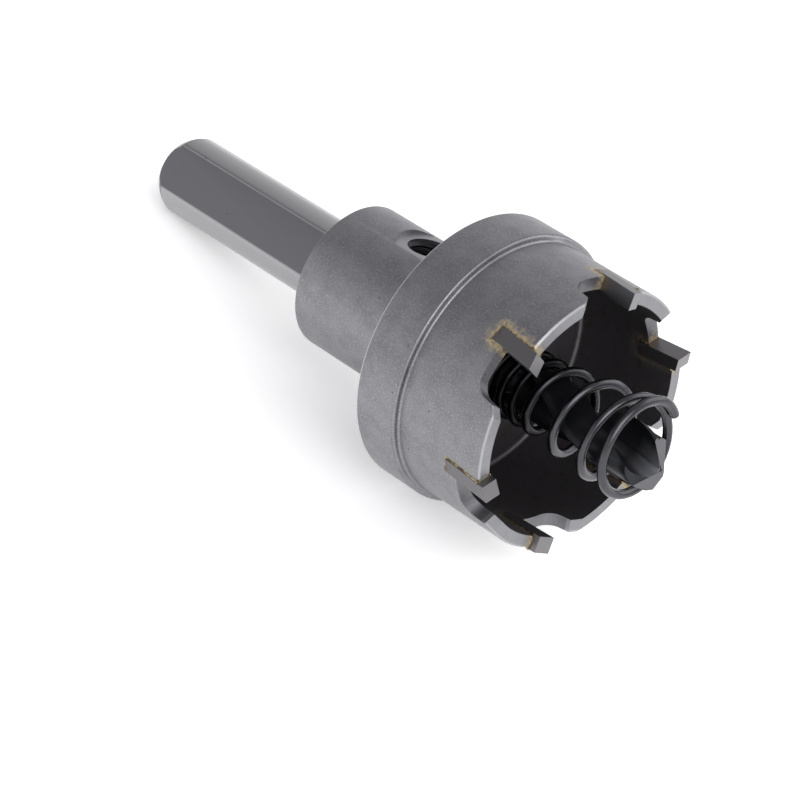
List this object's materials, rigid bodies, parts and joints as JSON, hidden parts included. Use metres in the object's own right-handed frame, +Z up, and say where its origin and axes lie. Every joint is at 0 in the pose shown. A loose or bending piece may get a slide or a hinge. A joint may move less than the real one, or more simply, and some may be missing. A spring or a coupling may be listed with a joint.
{
  "type": "hole saw",
  "caption": "Short steel hole saw cutter with brazed carbide tips, a central pilot drill with an ejector spring, and a shank with flats.",
  "frame": {"origin": "centre of the bounding box in X and Y, on the surface that the saw rests on", "axes": "+X towards the drill point as the saw lies, +Z up; the saw's own axis rises 14.07 degrees from +X"},
  "size_m": [0.0953, 0.04, 0.0436],
  "materials": {
    "blasted_steel": "satin",
    "drill_steel": "satin",
    "screw_steel": "satin",
    "spring_steel": "gloss",
    "carbide": "satin",
    "braze": "satin"
  },
  "bodies": {
    "root": {"cutter_body": "blasted_steel", "pilot_drill": "drill_steel", "grub_screw": "screw_steel", "ejector_spring": "spring_steel", "carbide_tip_1": "carbide", "carbide_tip_2": "carbide", "carbide_tip_3": "carbide", "carbide_tip_4": "carbide", "carbide_tip_5": "carbide", "carbide_tip_6": "carbide", "braze_seam_1": "braze", "braze_seam_2": "braze", "braze_seam_3": "braze", "braze_seam_4": "braze", "braze_seam_5": "braze", "braze_seam_6": "braze"}
  },
  "joints": []
}
